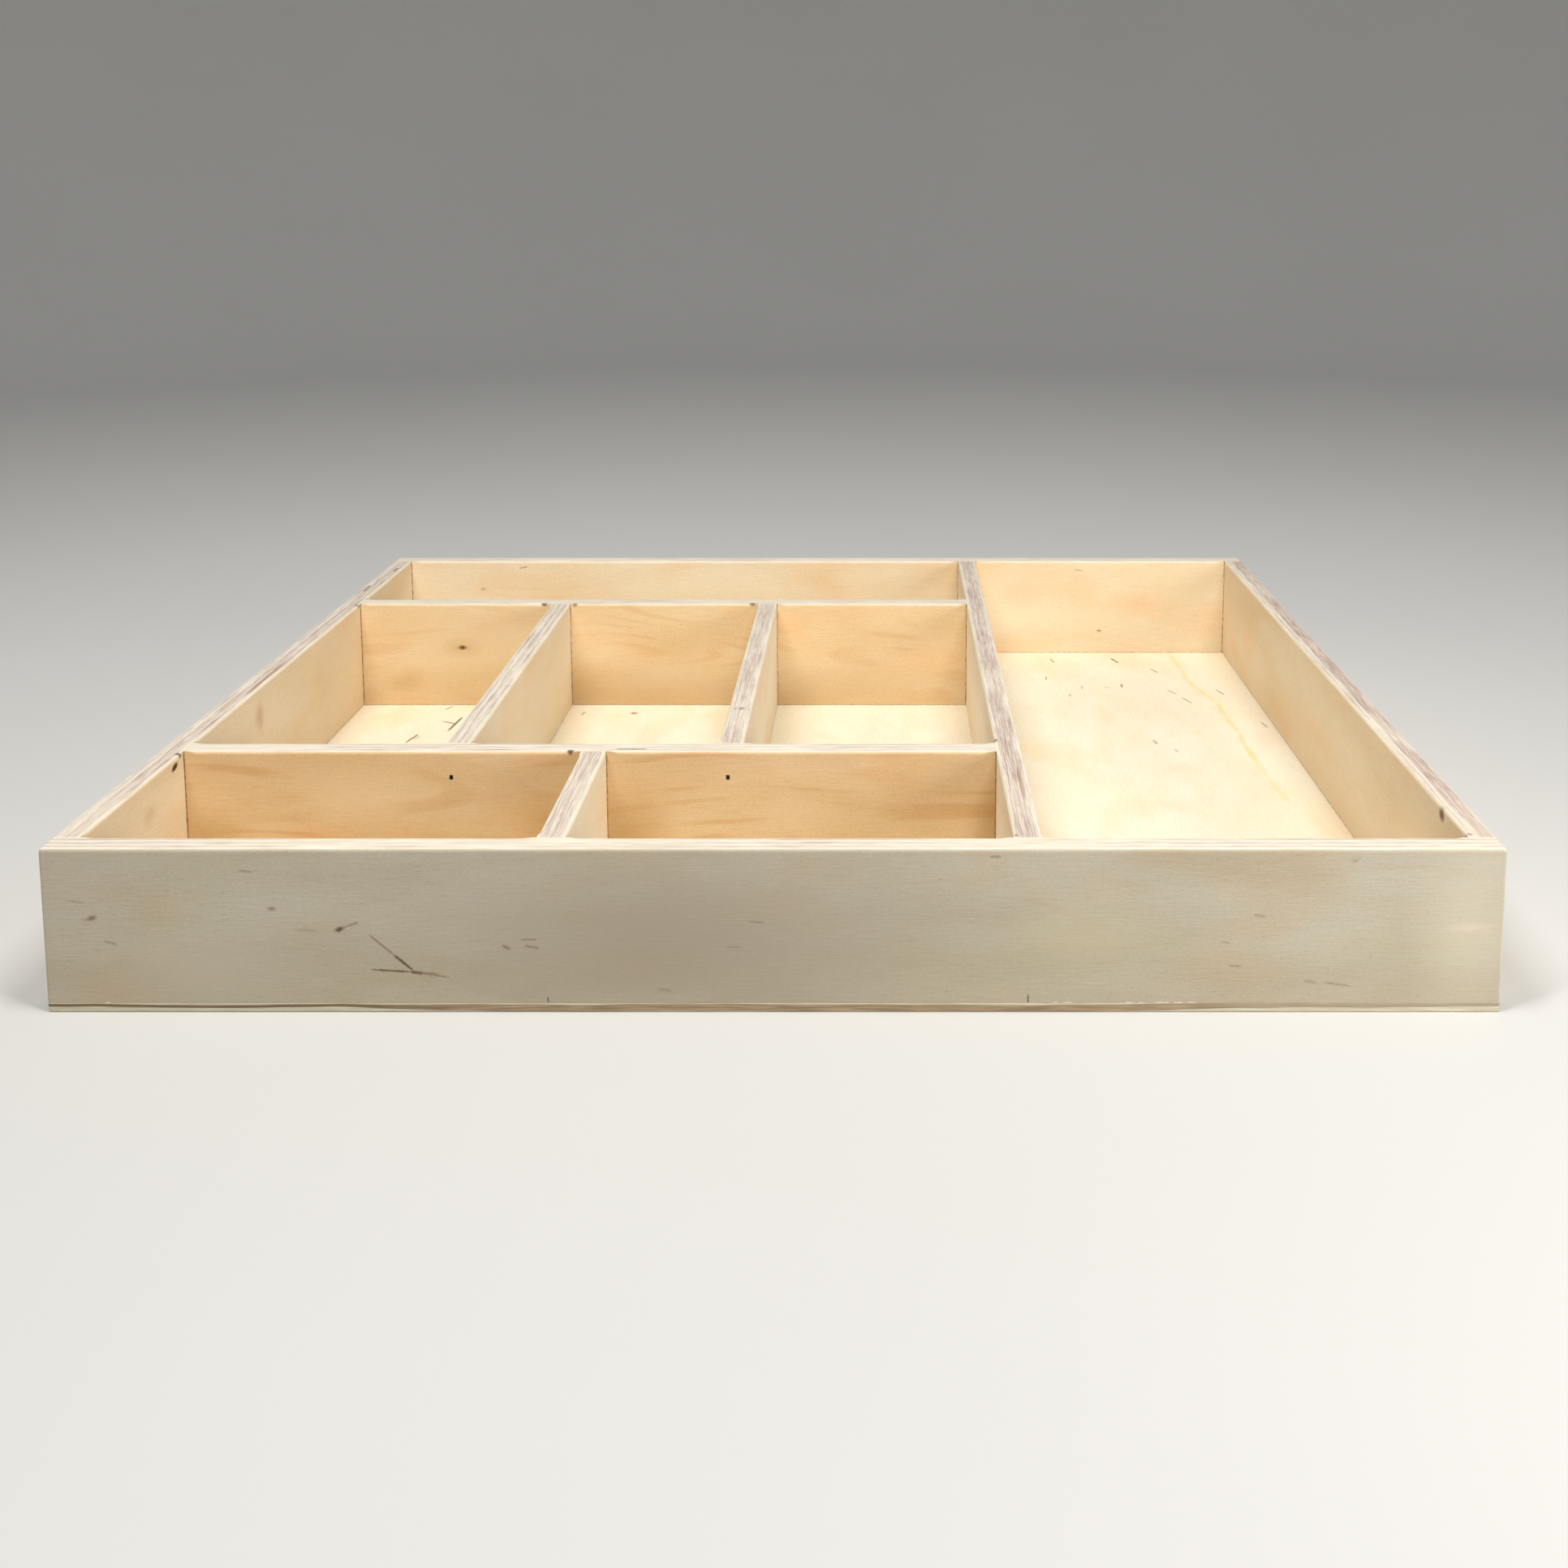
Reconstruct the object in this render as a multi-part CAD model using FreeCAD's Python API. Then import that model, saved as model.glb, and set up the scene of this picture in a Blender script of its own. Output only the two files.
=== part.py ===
"""Plywood drawer organizer insert: a shallow tray with seven open-top compartments.

The front and back boards run the full width and the side boards stand between them. One long divider runs
front to back, two cross dividers run from the left side board to it, and three short dividers stand between
those. Every joint is a glued butt joint held by brads, and a thin bottom panel is bradded on from below.

Everything is laid out in millimetres from the tray's outer front left bottom corner, x to the right, y to the
back and z up. The export moves it so that the origin is the middle of the underside.
"""

import FreeCAD, Part
import os

# The whole tray
WIDTH = 450.0
DEPTH = 400.0
HEIGHT = 53.0
BOARD = 9.0  # thickness of every upright board
PANEL = 3.0  # thickness of the bottom panel

# Where the dividers stand: the face nearest the tray's left side or front
LONG_X = 299.5
FRONT_CROSS_Y = 89.0
REAR_CROSS_Y = 300.0
FRONT_SHORT_X = 151.0
MIDDLE_LEFT_X = 100.5
MIDDLE_RIGHT_X = 199.5

# Eased edges
CORNER_RADIUS = 1.0  # the tray's upright outer corners
TOP_RADIUS = 1.2  # the outer top edges
UNDER_RADIUS = 0.6  # the bottom panel's lower edge
ROUND_OVER = 1.2  # the routed inner top edges
BEARING_RADIUS = 4.75  # the router bit's bearing, which can't reach into a compartment's corners
ROUND_OVER_SAGITTA = 0.25  # how far the routed edge bulges, as a share of ROUND_OVER
BIT_ABOVE = 1.0  # how far the router bit reaches above the boards

# Brads: a flat shank, a T head and a chisel point
SHANK_WIDTH = 1.25
SHANK_THICKNESS = 1.0
HEAD_WIDTH = 1.9
HEAD_DEPTH = 0.8
POINT_LENGTH = 1.6
SET_DEPTH = 0.6  # how far each head is punched below the surface
JOINT_BRAD = 25.0
PANEL_BRAD = 18.0
LOW_BRAD_Z = 13.5
HIGH_BRAD_Z = 43.25
FRONT_CROSS_BRADS_ASIDE = 0.6  # how far left of their dividers' middles the front cross divider's brads are

# The panel's brads under each board: from the tray's corner to the first one, and how many there are
END_BOARD_PANEL_BRADS = (30.0, 5)
SIDE_BOARD_PANEL_BRADS = (60.0, 4)
FRONT_CROSS_PANEL_BRADS_X = (50.0, 130.0, 180.0, 260.0)
REAR_CROSS_PANEL_BRADS_X = (50.0, 150.0, 250.0)
FRONT_SHORT_PANEL_BRADS_Y = (25.0, 60.0)
MIDDLE_PANEL_BRADS_Y = (150.0, 250.0)

TOUCHING = 1e-6  # coordinates this close are the same

X_AXIS = FreeCAD.Vector(1, 0, 0)
Y_AXIS = FreeCAD.Vector(0, 1, 0)
Z_AXIS = FreeCAD.Vector(0, 0, 1)


def vector(x, y, z=0.0):
    return FreeCAD.Vector(x, y, z)


# ---------------------------------------------------------------- boards


def upright(x, y, length_x, length_y):
    """A board standing on the bottom panel, with its front left corner at x, y."""
    return Part.makeBox(length_x, length_y, HEIGHT - PANEL, vector(x, y, PANEL))


def lies_on(edge, axis, value):
    """True if both ends of an edge have this coordinate on an axis, "x", "y" or "z"."""
    return all(abs(getattr(v.Point, axis) - value) < TOUCHING for v in edge.Vertexes)


def eased(shape, radius, *planes):
    """The shape with its edges on all of the given planes rounded; a plane is an axis and a coordinate."""
    edges = [e for e in shape.Edges if all(lies_on(e, axis, value) for axis, value in planes)]
    return shape.makeFillet(radius, edges)


def end_board(outer_y, y):
    """The front or back board; outer_y is its outside face, and y its face nearest the front."""
    board = upright(0, y, WIDTH, BOARD)
    for x in (0, WIDTH):
        board = eased(board, CORNER_RADIUS, ("x", x), ("y", outer_y))
    top_edges = [
        e
        for e in board.Edges
        if lies_on(e, "z", HEIGHT) and not lies_on(e, "y", BOARD) and not lies_on(e, "y", DEPTH - BOARD)
    ]
    return board.makeFillet(TOP_RADIUS, top_edges)


def side_board(outer_x, x):
    """The left or right side board; outer_x is its outside face, and x its left face."""
    board = upright(x, BOARD, BOARD, DEPTH - 2 * BOARD)
    return eased(board, TOP_RADIUS, ("x", outer_x), ("z", HEIGHT))


def bottom_panel():
    panel = Part.makeBox(WIDTH, DEPTH, PANEL)
    for x in (0, WIDTH):
        for y in (0, DEPTH):
            panel = eased(panel, CORNER_RADIUS, ("x", x), ("y", y))
    lower_edges = [e for e in panel.Edges if lies_on(e, "z", 0)]
    return panel.makeFillet(UNDER_RADIUS, lower_edges)


def make_boards():
    cross_length = LONG_X - BOARD
    middle_y = FRONT_CROSS_Y + BOARD
    middle_length = REAR_CROSS_Y - middle_y
    return {
        "front_board": end_board(0, 0),
        "back_board": end_board(DEPTH, DEPTH - BOARD),
        "left_side_board": side_board(0, 0),
        "right_side_board": side_board(WIDTH, WIDTH - BOARD),
        "bottom_panel": bottom_panel(),
        "long_divider": upright(LONG_X, BOARD, BOARD, DEPTH - 2 * BOARD),
        "front_cross_divider": upright(BOARD, FRONT_CROSS_Y, cross_length, BOARD),
        "rear_cross_divider": upright(BOARD, REAR_CROSS_Y, cross_length, BOARD),
        "front_short_divider": upright(FRONT_SHORT_X, BOARD, BOARD, FRONT_CROSS_Y - BOARD),
        "middle_left_divider": upright(MIDDLE_LEFT_X, middle_y, BOARD, middle_length),
        "middle_right_divider": upright(MIDDLE_RIGHT_X, middle_y, BOARD, middle_length),
    }


# ---------------------------------------------------------------- routed inner edges


def compartments():
    """Each compartment as its left, front, right and back walls' places."""
    front_row_back = FRONT_CROSS_Y
    middle_row = (FRONT_CROSS_Y + BOARD, REAR_CROSS_Y)
    back = DEPTH - BOARD
    return [
        (BOARD, BOARD, FRONT_SHORT_X, front_row_back),
        (FRONT_SHORT_X + BOARD, BOARD, LONG_X, front_row_back),
        (BOARD, middle_row[0], MIDDLE_LEFT_X, middle_row[1]),
        (MIDDLE_LEFT_X + BOARD, middle_row[0], MIDDLE_RIGHT_X, middle_row[1]),
        (MIDDLE_RIGHT_X + BOARD, middle_row[0], LONG_X, middle_row[1]),
        (BOARD, REAR_CROSS_Y + BOARD, LONG_X, back),
        (LONG_X + BOARD, BOARD, WIDTH - BOARD, back),
    ]


def bearing_stops(compartment):
    """Where the router bit's axis stands when its bearing touches two walls at once, corner by corner."""
    left, front, right, back = compartment
    near_left = left + BEARING_RADIUS
    near_front = front + BEARING_RADIUS
    near_right = right - BEARING_RADIUS
    near_back = back - BEARING_RADIUS
    return [
        vector(near_left, near_front),
        vector(near_right, near_front),
        vector(near_right, near_back),
        vector(near_left, near_back),
    ]


def bit_profile(axis_point, outward):
    """Half of the router bit's section, from its axis outward, as a face."""

    def at(reach, height):
        return axis_point + outward * reach + vector(0, 0, HEIGHT + height)

    chord_middle = at(BEARING_RADIUS + ROUND_OVER / 2, -ROUND_OVER / 2)
    towards_tool = (vector(0, 0, 1) - outward).normalize()
    arc_middle = chord_middle + towards_tool * (ROUND_OVER * ROUND_OVER_SAGITTA)
    low = at(BEARING_RADIUS, -ROUND_OVER)
    high = at(BEARING_RADIUS + ROUND_OVER, 0)
    rest = Part.makePolygon(
        [
            high,
            at(BEARING_RADIUS + ROUND_OVER, BIT_ABOVE),
            at(0, BIT_ABOVE),
            at(0, -ROUND_OVER),
            low,
        ]
    )
    arc = Part.Arc(low, arc_middle, high).toShape()
    return Part.Face(Part.Wire([arc] + rest.Edges))


def round_over_cutters(compartment):
    """What a bearing-guided round-over bit sweeps out on its way round one compartment."""
    stops = bearing_stops(compartment)
    cutters = []
    for i, stop in enumerate(stops):
        run = stops[(i + 1) % len(stops)] - stop
        outward = vector(run.y, -run.x).normalize()
        cutters.append(bit_profile(stop, outward).extrude(run))
        cutters.append(bit_profile(stop, outward).revolve(stop, Z_AXIS, 360))
    return cutters


# ---------------------------------------------------------------- brads


def brad(length):
    """A brad along z with the top of its head at the origin, and its point up."""
    head = Part.makeBox(HEAD_WIDTH, SHANK_WIDTH, HEAD_DEPTH, vector(-HEAD_WIDTH / 2, -SHANK_WIDTH / 2))
    half = SHANK_THICKNESS / 2
    shoulder = length - POINT_LENGTH
    outline = Part.makePolygon(
        [
            vector(-half, -SHANK_WIDTH / 2, 0),
            vector(half, -SHANK_WIDTH / 2, 0),
            vector(half, -SHANK_WIDTH / 2, shoulder),
            vector(0, -SHANK_WIDTH / 2, length),
            vector(-half, -SHANK_WIDTH / 2, shoulder),
            vector(-half, -SHANK_WIDTH / 2, 0),
        ]
    )
    shank = Part.Face(outline).extrude(vector(0, SHANK_WIDTH, 0))
    return head.fuse(shank).removeSplitter()


def brad_hole(length):
    """The brad with the pocket that the nail set leaves above its head."""
    pocket = Part.makeBox(
        HEAD_WIDTH, SHANK_WIDTH, SET_DEPTH, vector(-HEAD_WIDTH / 2, -SHANK_WIDTH / 2, -SET_DEPTH)
    )
    return brad(length).fuse(pocket).removeSplitter()


def driven(shape, point, direction, head_along):
    """A brad or its hole, moved to where the brad is driven into the surface at a point."""
    placed = shape.copy()
    turn = FreeCAD.Rotation(head_along, direction.cross(head_along), direction)
    placed.Placement = FreeCAD.Placement(point + direction * SET_DEPTH, turn)
    return placed


def spread(start, end, count):
    """Evenly spaced numbers from start to end."""
    return [start + (end - start) * i / (count - 1) for i in range(count)]


def pairs(x, y, direction, head_along):
    """The low and the high brad of one joint."""
    return [(vector(x, y, z), direction, head_along) for z in (LOW_BRAD_Z, HIGH_BRAD_Z)]


def joint_brads():
    """Where the brads of every upright joint are driven in, by node."""
    half = BOARD / 2
    rear_of_front_cross = FRONT_CROSS_Y + BOARD
    rear_of_rear_cross = REAR_CROSS_Y + BOARD
    cross_ys = (FRONT_CROSS_Y + half, REAR_CROSS_Y + half)
    back_xs = (half, LONG_X + half, WIDTH - half)
    middle_xs = (MIDDLE_LEFT_X + half, MIDDLE_RIGHT_X + half)
    groups = {
        "brads_front_cross_divider": [
            pairs(x - FRONT_CROSS_BRADS_ASIDE, FRONT_CROSS_Y, Y_AXIS, Z_AXIS) for x in middle_xs
        ],
        "brads_front_short_divider": [
            pairs(FRONT_SHORT_X + half, rear_of_front_cross, -Y_AXIS, Z_AXIS)
        ],
        "brads_rear_cross_divider": [pairs(x, rear_of_rear_cross, -Y_AXIS, Z_AXIS) for x in middle_xs],
        "brads_left_side_board": [pairs(0, y, X_AXIS, Z_AXIS) for y in cross_ys],
        "brads_long_divider": [pairs(LONG_X + BOARD, y, -X_AXIS, Z_AXIS) for y in cross_ys],
        "brads_back_board": [pairs(x, DEPTH, -Y_AXIS, Z_AXIS) for x in back_xs],
    }
    return {node: [place for joint in joints for place in joint] for node, joints in groups.items()}


def panel_brads():
    """Where the brads through the bottom panel are driven in: a row under every board."""
    half = BOARD / 2
    end_inset, end_count = END_BOARD_PANEL_BRADS
    side_inset, side_count = SIDE_BOARD_PANEL_BRADS
    places = []
    for y in (half, DEPTH - half):
        places += [(x, y) for x in spread(end_inset, WIDTH - end_inset, end_count)]
    for x in (half, LONG_X + half, WIDTH - half):
        places += [(x, y) for y in spread(side_inset, DEPTH - side_inset, side_count)]
    places += [(x, FRONT_CROSS_Y + half) for x in FRONT_CROSS_PANEL_BRADS_X]
    places += [(x, REAR_CROSS_Y + half) for x in REAR_CROSS_PANEL_BRADS_X]
    places += [(FRONT_SHORT_X + half, y) for y in FRONT_SHORT_PANEL_BRADS_Y]
    for x in (MIDDLE_LEFT_X + half, MIDDLE_RIGHT_X + half):
        places += [(x, y) for y in MIDDLE_PANEL_BRADS_Y]
    return [(vector(x, y), Z_AXIS, X_AXIS) for x, y in places]


def make_brads():
    """Every group of brads by node, and every hole."""
    groups = {node: (JOINT_BRAD, places) for node, places in joint_brads().items()}
    groups["brads_bottom_panel"] = (PANEL_BRAD, panel_brads())
    solids = {}
    holes = []
    for node, (length, places) in groups.items():
        solids[node] = Part.makeCompound([driven(brad(length), *place) for place in places])
        holes += [driven(brad_hole(length), *place) for place in places]
    return solids, holes


# ---------------------------------------------------------------- assembly


def cut_where_met(shape, tools):
    """The shape less those of the tools whose boxes meet its own."""
    near = [tool for tool in tools if tool.BoundBox.intersect(shape.BoundBox)]
    return shape.cut(near) if near else shape


def make_tray():
    brads, holes = make_brads()
    cutters = [cutter for compartment in compartments() for cutter in round_over_cutters(compartment)]
    nodes = {}
    for node, board in make_boards().items():
        nodes[node] = cut_where_met(cut_where_met(board, cutters), holes)
    nodes.update(brads)
    return nodes


def export(nodes):
    os.makedirs("parts", exist_ok=True)
    to_origin = vector(-WIDTH / 2, -DEPTH / 2)
    for node, shape in nodes.items():
        shape.translated(to_origin).exportStep(f"parts/{node}.step")


export(make_tray())
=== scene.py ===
"""Looks for the plywood drawer organizer insert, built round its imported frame.

Every board is rebuilt as a finer mesh in the place that its CAD solid holds, with routed top edges that fade
out at the compartments' corners, crushed joint edges and nail pockets. The plies and the veneer of each board
are worked out on the board itself: s runs along it, h up it and t through it, in millimetres. Knots, streaks,
burns and other marks are placed in the tray's own frame, in millimetres.
"""

import math

import bmesh
import bpy
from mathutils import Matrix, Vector, noise


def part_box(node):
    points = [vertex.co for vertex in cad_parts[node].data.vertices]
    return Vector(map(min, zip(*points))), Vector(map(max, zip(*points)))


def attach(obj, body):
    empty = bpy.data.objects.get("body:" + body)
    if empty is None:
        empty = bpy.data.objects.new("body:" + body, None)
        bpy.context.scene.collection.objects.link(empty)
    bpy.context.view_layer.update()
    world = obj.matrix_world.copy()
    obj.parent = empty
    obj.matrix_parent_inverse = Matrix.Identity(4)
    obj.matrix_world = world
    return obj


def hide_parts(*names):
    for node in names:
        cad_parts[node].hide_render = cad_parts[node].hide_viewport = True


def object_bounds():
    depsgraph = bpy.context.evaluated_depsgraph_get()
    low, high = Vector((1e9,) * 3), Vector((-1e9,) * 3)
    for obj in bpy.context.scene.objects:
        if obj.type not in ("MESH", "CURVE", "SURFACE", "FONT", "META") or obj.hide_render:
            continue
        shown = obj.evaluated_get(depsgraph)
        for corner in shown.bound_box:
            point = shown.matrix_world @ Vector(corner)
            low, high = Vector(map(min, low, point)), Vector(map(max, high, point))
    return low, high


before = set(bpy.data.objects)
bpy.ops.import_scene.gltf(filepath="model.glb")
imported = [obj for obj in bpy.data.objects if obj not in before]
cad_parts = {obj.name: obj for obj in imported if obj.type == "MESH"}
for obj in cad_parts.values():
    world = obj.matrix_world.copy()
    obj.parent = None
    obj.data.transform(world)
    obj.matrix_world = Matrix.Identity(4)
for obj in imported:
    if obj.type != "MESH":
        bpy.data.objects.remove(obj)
cad_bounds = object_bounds()

MM = 0.001
UP = Vector((0, 0, 1))

# The boards, as the CAD has them
THICKNESS = 9.0 * MM
ROUND_OVER = 1.2 * MM
BEARING_RADIUS = 4.75 * MM
CORNER_RADIUS = 1.0 * MM
UNDER_RADIUS = 0.6 * MM
SET_DEPTH = 0.6 * MM
TOUCHING = 0.1 * MM  # boards this close to each other meet

# What only the finer meshes have
CRUSH = 0.12 * MM  # how far a board's edges are crushed where it meets another
CRUSH_SPREAD = 0.18 * MM  # how much more in places
CRUSH_LENGTH = 0.4 * MM  # how far from its end a board is crushed
END_GRAIN = 900  # how quickly the crushing varies at a board's end, per metre
FOOT_GRAIN = 700  # and along its foot
SUPPORT = 0.3 * MM  # a row of vertices this close beside each curved edge keeps the flats flat
SHARP_ANGLE = math.radians(30)
ARC_STEPS = 5
FACE_STEPS = 14
TOP_STEPS = 5
STATION_PITCH = 7.0 * MM
CLOSEST_STATIONS = 0.05 * MM
MERGED = 0.01 * MM  # vertices this close become one
SHORTEST_EDGE = 0.005 * MM
END_STEPS = (0.1, 0.2, 0.4, 0.7, 1.0, 1.2)  # extra stations by a board's end, in mm
STOP_STEPS = (0.0, 0.5, 1.0, 1.3, 1.7, 2.2, 2.9, 3.7, 4.75)  # and beside a compartment's corner


# ---------------------------- boards


class Board:
    """An upright board's own axes: s along it, t through it from its near face, h up it, from its origin."""

    def __init__(self, name, runs_back=False, outside=None):
        low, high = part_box(name)
        self.name = name
        self.runs_back = runs_back
        self.outside = outside  # the t of its face on the tray's outside, if it has one
        self.is_end = outside is not None and not runs_back  # the front or back board
        self.height = high.z - low.z
        if runs_back:
            self.length = high.y - low.y
            self.origin = Vector((high.x, low.y, low.z))
            self.along = Vector((0, 1, 0))
            self.through = Vector((-1, 0, 0))
        else:
            self.length = high.x - low.x
            self.origin = Vector(low)
            self.along = Vector((1, 0, 0))
            self.through = Vector((0, 1, 0))

    def place(self, s, t, h):
        return self.origin + self.along * s + self.through * t + UP * h

    def span(self, other):
        """The stretch of this board's s that another board's thickness takes up."""
        ends = [(other.place(0, t, 0) - self.origin).dot(self.along) for t in (0, THICKNESS)]
        return min(ends), max(ends)

    def is_met(self, other, t):
        """True if an end of the other board stands against this board's face at t."""
        low, high = self.span(other)
        gaps = [(other.place(s, 0, 0) - self.place(0, t, 0)).dot(self.through) for s in (0, other.length)]
        crosses = other.runs_back != self.runs_back
        return crosses and low > -MM and high < self.length + MM and min(abs(gap) for gap in gaps) < TOUCHING


BOARDS = [
    Board("front_board", outside=0.0),
    Board("back_board", outside=THICKNESS),
    Board("left_side_board", runs_back=True, outside=THICKNESS),
    Board("right_side_board", runs_back=True, outside=0.0),
    Board("long_divider", runs_back=True),
    Board("front_cross_divider"),
    Board("rear_cross_divider"),
    Board("front_short_divider", runs_back=True),
    Board("middle_left_divider", runs_back=True),
    Board("middle_right_divider", runs_back=True),
]


def open_spans(board, t):
    """The stretches of s where the board's face at t stands free, each in one compartment."""
    met = sorted(board.span(other) for other in BOARDS if board.is_met(other, t))
    spans = []
    reached = 0.0
    for low, high in met + [(board.length, board.length)]:
        if low - reached > MM:
            spans.append((reached, low))
        reached = high
    return spans


def routed(distance):
    """How far the routed edge reaches across the top and down the face, this far from a corner.

    The router bit's bearing can't go nearer to a corner than its radius, so the edge fades out there.
    """
    if distance >= BEARING_RADIUS:
        return ROUND_OVER, ROUND_OVER
    aside = BEARING_RADIUS - distance
    short = BEARING_RADIUS + ROUND_OVER - math.hypot(BEARING_RADIUS, aside)
    if distance < 0 or short <= 0:
        return 0.0, 0.0
    across = math.sqrt((BEARING_RADIUS + ROUND_OVER) ** 2 - aside**2) - BEARING_RADIUS
    down = ROUND_OVER - math.sqrt(ROUND_OVER**2 - short**2)
    return across, down


def edge_size(board, t, s, spans):
    """How far the top edge of the face at t is rounded across and down, at s."""
    if t == board.outside:
        return ROUND_OVER, ROUND_OVER
    for low, high in spans:
        if low <= s <= high:
            return routed(min(s - low, high - s))
    return 0.0, 0.0


def sag_of_round(radius, distance):
    """How far a rounded edge has fallen away this far from the end that it turns into."""
    if distance >= radius:
        return 0.0
    return radius - math.sqrt(radius**2 - (radius - distance) ** 2)


def crush(board, s, t, h):
    """How far a joint edge is crushed here: most at the board's very end, and uneven."""
    from_end = min(s, board.length - s)
    if board.is_end or from_end >= CRUSH_LENGTH:
        return 0.0
    place = Vector((board.origin.x + t * 7, s, h))  # t * 7 keeps the two faces from matching
    grain = noise.noise(place * END_GRAIN)
    return (1.0 - from_end / CRUSH_LENGTH) * (CRUSH + CRUSH_SPREAD * max(0.0, grain))


def end_round(board, s, t):
    """How far the front and back boards' outer corners are rounded away, from the face at t."""
    if not board.is_end or t != board.outside:
        return 0.0
    return sag_of_round(CORNER_RADIUS, min(s, board.length - s))


def top_drop(board, s):
    """How far the top falls at a board's ends: rounded at the tray's outside, crushed at a joint."""
    if board.is_end:
        return sag_of_round(ROUND_OVER, min(s, board.length - s))
    return crush(board, s, 0, board.height) * 0.5


def half_section(board, s, t, top, spans):
    """One face of the outline as (t, h) pairs, from its lower edge up and round its top edge."""
    across, down = edge_size(board, t, s, spans)
    inward = 1.0 if t == 0.0 else -1.0
    corner = end_round(board, s, t)
    grain = noise.noise(Vector((s, t, board.origin.y)) * FOOT_GRAIN)
    foot = CRUSH + CRUSH_SPREAD * (0.5 + 0.5 * grain)
    shoulder = top - down

    def point(depth, h):
        return t + inward * (depth + corner + crush(board, s, t, h)), h

    outline = [point(foot, 0.0)]
    face_top = shoulder - SUPPORT
    for i in range(FACE_STEPS + 1):
        outline.append(point(0.0, foot + (face_top - foot) * i / FACE_STEPS))
    for i in range(ARC_STEPS + 1):
        angle = math.pi / 2 * i / ARC_STEPS
        outline.append(point(across * (1 - math.cos(angle)), shoulder + down * math.sin(angle)))
    return outline


def section(board, s, near_spans, far_spans):
    """The board's outline at s: up the near face, over the top and down the far face."""
    top = board.height - top_drop(board, s)
    outline = half_section(board, s, 0.0, top, near_spans)
    far_half = half_section(board, s, THICKNESS, top, far_spans)
    flat_start = outline[-1][0] + SUPPORT
    flat_end = far_half[-1][0] - SUPPORT
    for i in range(TOP_STEPS + 1):
        outline.append((flat_start + (flat_end - flat_start) * i / TOP_STEPS, top))
    return outline + far_half[::-1]


def stations(board, spans):
    """Where along the board its outline is worked out: evenly, and closely where an edge changes."""
    count = math.ceil(board.length / STATION_PITCH)
    marks = {board.length * i / count for i in range(count + 1)}
    for low, high in spans:
        marks.update(low + step * MM for step in STOP_STEPS)
        marks.update(high - step * MM for step in STOP_STEPS)
    for step in END_STEPS:
        marks.update((step * MM, board.length - step * MM))
    kept = [0.0]
    for s in sorted(marks):
        if kept[-1] + CLOSEST_STATIONS < s < board.length - CLOSEST_STATIONS:
            kept.append(s)
    return kept + [board.length]


def new_object(name, bm):
    """A mesh object of a finished bmesh, smooth except over sharp edges."""
    bmesh.ops.recalc_face_normals(bm, faces=bm.faces)
    mesh = bpy.data.meshes.new(name)
    bm.to_mesh(mesh)
    bm.free()
    piece = bpy.data.objects.new(name, mesh)
    bpy.context.scene.collection.objects.link(piece)
    mesh.polygons.foreach_set("use_smooth", [True] * len(mesh.polygons))
    mesh.set_sharp_from_angle(angle=SHARP_ANGLE)
    return piece


def skin(rings):
    """A closed bmesh through rings of points, with flat ends."""
    bm = bmesh.new()
    loops = [[bm.verts.new(point) for point in ring] for ring in rings]
    for ring, next_ring in zip(loops, loops[1:]):
        for i, vertex in enumerate(ring):
            j = (i + 1) % len(ring)
            bm.faces.new((vertex, ring[j], next_ring[j], next_ring[i]))
    bm.faces.new(loops[0])
    bm.faces.new(loops[-1][::-1])
    bmesh.ops.remove_doubles(bm, verts=bm.verts, dist=MERGED)
    bmesh.ops.dissolve_degenerate(bm, edges=bm.edges, dist=SHORTEST_EDGE)
    return bm


def board_piece(board):
    near_spans = open_spans(board, 0.0)
    far_spans = open_spans(board, THICKNESS)
    rings = []
    for s in stations(board, near_spans + far_spans):
        outline = section(board, s, near_spans, far_spans)
        rings.append([board.place(s, t, h) for t, h in outline])
    return new_object(board.name + "_wood", skin(rings))


def panel_ring(low, high, inset, z):
    """The panel's outline at a height, this far inside its full outline."""
    ring = []
    radius = CORNER_RADIUS - inset
    corners = ((high.x, high.y), (low.x, high.y), (low.x, low.y), (high.x, low.y))
    for quarter, (x, y) in enumerate(corners):
        centre_x = x - math.copysign(CORNER_RADIUS, x)
        centre_y = y - math.copysign(CORNER_RADIUS, y)
        for i in range(ARC_STEPS + 1):
            angle = math.pi / 2 * (quarter + i / ARC_STEPS)
            ring.append(Vector((centre_x + radius * math.cos(angle), centre_y + radius * math.sin(angle), z)))
    return ring


def panel_piece():
    """The bottom panel: a slab with rounded upright corners and an eased lower edge."""
    low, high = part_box("bottom_panel")
    rings = [panel_ring(low, high, 0.0, high.z)]
    for i in range(ARC_STEPS + 1):
        angle = math.pi / 2 * i / ARC_STEPS
        inset = UNDER_RADIUS * (1 - math.cos(angle))
        rings.append(panel_ring(low, high, inset, low.z + UNDER_RADIUS * (1 - math.sin(angle))))
    return new_object("bottom_panel_wood", skin(rings))


# ---------------------------- nail pockets

# Each group of brads, the board that its heads are set into, and the way those heads face
BRAD_GROUPS = {
    "brads_front_cross_divider": ("front_cross_divider", Vector((0, -1, 0))),
    "brads_front_short_divider": ("front_cross_divider", Vector((0, 1, 0))),
    "brads_rear_cross_divider": ("rear_cross_divider", Vector((0, 1, 0))),
    "brads_left_side_board": ("left_side_board", Vector((-1, 0, 0))),
    "brads_long_divider": ("long_divider", Vector((1, 0, 0))),
    "brads_back_board": ("back_board", Vector((0, 1, 0))),
    "brads_bottom_panel": ("bottom_panel", Vector((0, 0, -1))),
}
SAME_POINT = 0.001 * MM
CUTTER_BITE = 0.02 * MM  # how far a pocket's cutter reaches below the top of the head


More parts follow.
